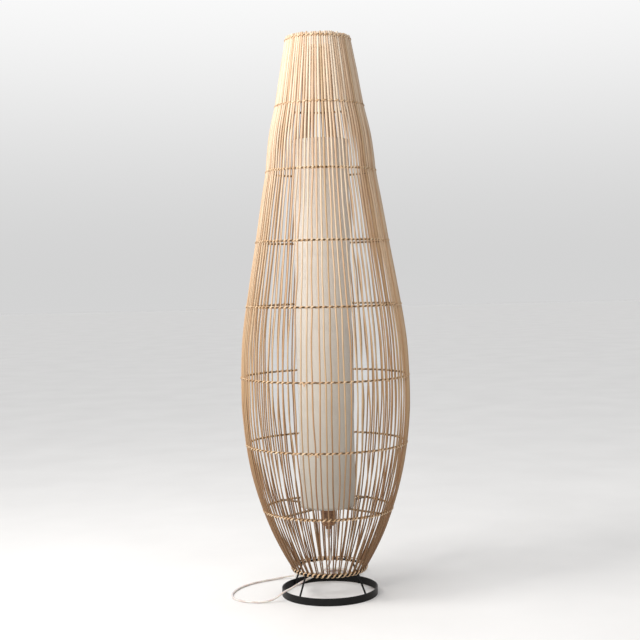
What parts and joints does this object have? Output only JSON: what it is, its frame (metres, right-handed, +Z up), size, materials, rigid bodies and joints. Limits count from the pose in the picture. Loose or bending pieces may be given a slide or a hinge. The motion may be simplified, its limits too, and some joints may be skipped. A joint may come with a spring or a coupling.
{
  "type": "rattan floor lamp",
  "caption": "Tall cocoon-shaped floor lamp of upright rattan sticks on wire hoops, with a fabric tube diffuser inside and a round steel foot.",
  "frame": {"origin": "on the floor, on the upright axis of the lamp, at the centre of the foot ring", "axes": "+Z up along the lamp axis; -Y is the front, +X is to the right seen from the front"},
  "size_m": [0.4986, 0.5128, 1.5004],
  "materials": {
    "black_insulator": "gloss black",
    "black_steel": "satin black powder coat",
    "brass": "plain brass",
    "brown_phenolic": "brown moulded phenolic, semi-gloss",
    "brown_wire": "brown lacquered steel wire and strip, satin",
    "bulb_aluminium": "bright",
    "cane_binding": "split cane binding, satin",
    "ceramic": "unglazed white ceramic",
    "clear_cord": "clear PVC flex over pale cores",
    "clear_grip": "clear nylon",
    "diffuser_fabric": "off-white woven fabric on a stiff clear film",
    "nickel_pin": "nickel plated",
    "opal_glass": "opal glass",
    "rattan_stick": "peeled rattan core, satin, varied honey to cream tones",
    "white_plastic": "moulded white plastic, fine texture",
    "white_rocker": "gloss white",
    "white_steel": "white coated wire",
    "zinc_screw": "zinc plated"
  },
  "bodies": {
    "lamp": {"binding_1": "cane_binding", "binding_2": "cane_binding", "binding_3": "cane_binding", "binding_4": "cane_binding", "binding_5": "cane_binding", "binding_6": "cane_binding", "binding_7": "cane_binding", "binding_8": "cane_binding", "binding_bottom_rim": "cane_binding", "bottom_rim_wire": "black_steel", "cord_coil": "clear_cord", "cord_grip": "clear_grip", "cord_lead": "clear_cord", "cord_switch_lead": "clear_cord", "cord_tail": "clear_cord", "foot_ring": "black_steel", "hoop_wire_1": "brown_wire", "hoop_wire_2": "brown_wire", "hoop_wire_3": "brown_wire", "hoop_wire_4": "brown_wire", "hoop_wire_5": "brown_wire", "hoop_wire_6": "brown_wire", "hoop_wire_7": "brown_wire", "hoop_wire_8": "brown_wire", "lampholder_cap": "brown_phenolic", "lampholder_carrier": "brown_wire", "lampholder_centre_contact": "brass", "lampholder_insert": "ceramic", "lampholder_skirt": "brown_phenolic", "lampholder_terminal_screws": "brass", "lampholder_thread_shell": "brass", "leg_front_left": "black_steel", "leg_front_right": "black_steel", "leg_rear_left": "black_steel", "leg_rear_right": "black_steel", "plug_body": "white_plastic", "plug_pins": "nickel_pin", "shade_ring_lower": "brown_phenolic", "shade_ring_upper": "brown_phenolic", "sticks_front": "rattan_stick", "sticks_front_left": "rattan_stick", "sticks_front_right": "rattan_stick", "sticks_left": "rattan_stick", "sticks_rear": "rattan_stick", "sticks_rear_left": "rattan_stick", "sticks_rear_right": "rattan_stick", "sticks_right": "rattan_stick", "switch_base": "white_plastic", "switch_cover": "white_plastic", "switch_screws": "zinc_screw"},
    "diffuser": {"diffuser_sleeve": "diffuser_fabric", "diffuser_bottom_ring": "white_steel", "diffuser_top_ring": "white_steel"},
    "bulb": {"bulb_globe": "opal_glass", "bulb_cap": "bulb_aluminium", "bulb_tip": "black_insulator"},
    "rocker": {"switch_rocker": "white_rocker"}
  },
  "joints": [
    {"name": "diffuser_lift", "type": "slide", "parent": "lamp", "child": "diffuser", "axis": [0, 0, 1], "range_m": [0, 1.29]},
    {"name": "bulb_unscrew", "type": "slide", "parent": "lamp", "child": "bulb", "axis": [0, 0, 1], "range_m": [0, 0.026]},
    {"name": "rocker_press", "type": "hinge", "parent": "lamp", "child": "rocker", "pos_m": [-0.071, 0.165, 0.012], "axis": [0, 1, 0], "range_deg": [-14, 0]}
  ]
}
